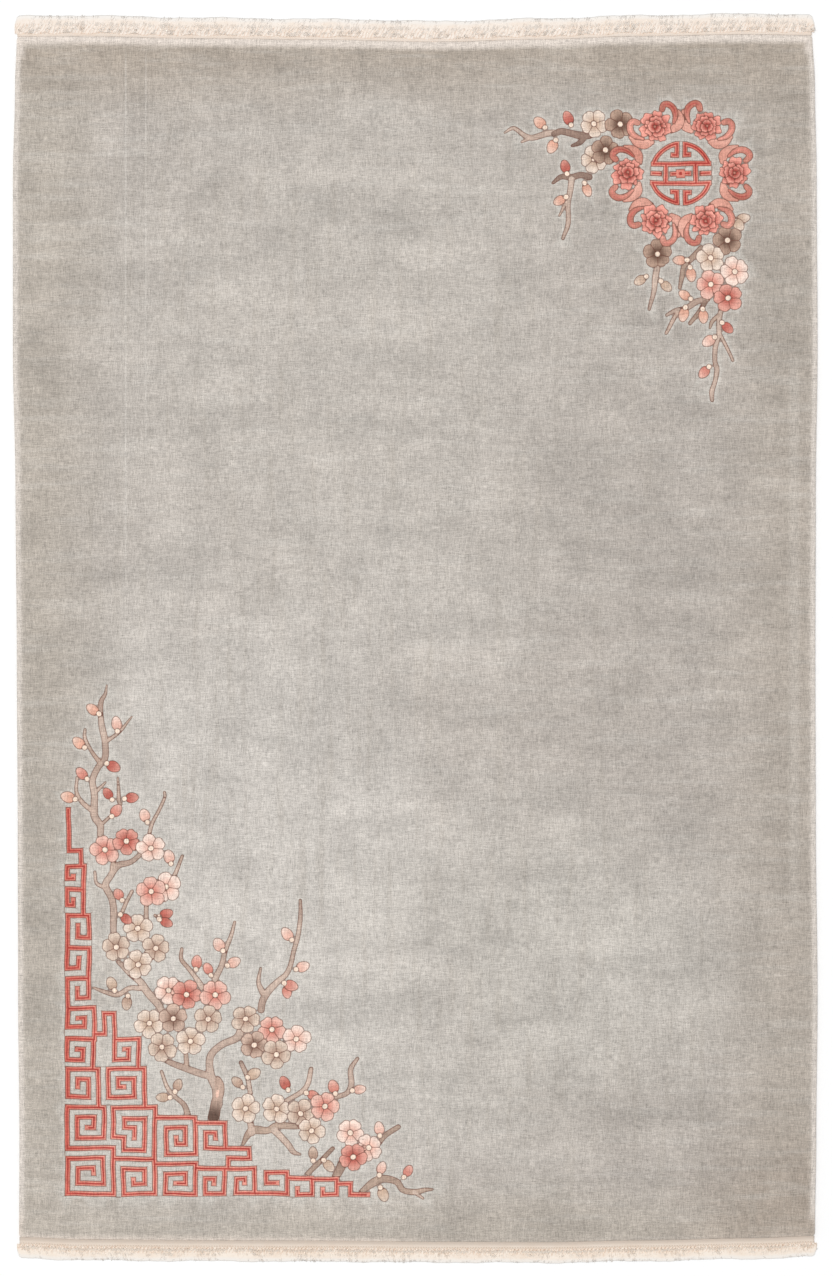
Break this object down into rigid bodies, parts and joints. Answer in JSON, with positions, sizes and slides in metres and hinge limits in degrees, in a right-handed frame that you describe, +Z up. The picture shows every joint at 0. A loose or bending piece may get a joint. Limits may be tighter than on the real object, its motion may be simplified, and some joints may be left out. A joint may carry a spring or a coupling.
{
  "type": "chinese rug",
  "caption": "Rectangular hand-knotted wool carpet with carved blossom sprays, a fretwork roundel and a key-fret corner, and a short cotton fringe at each end.",
  "frame": {"origin": "middle of the whole carpet's outline, on its underside", "axes": "+Y along the length towards the end with the roundel, +X across the width, +Z up out of the pile"},
  "size_m": [1.836, 2.843, 0.013],
  "materials": {
    "wool_pile": "soft matte cut wool pile",
    "cotton_fringe": "matte cream cotton"
  },
  "bodies": {
    "root": {"pile_rug": "wool_pile", "fringe_top": "cotton_fringe", "fringe_bottom": "cotton_fringe"}
  },
  "joints": []
}
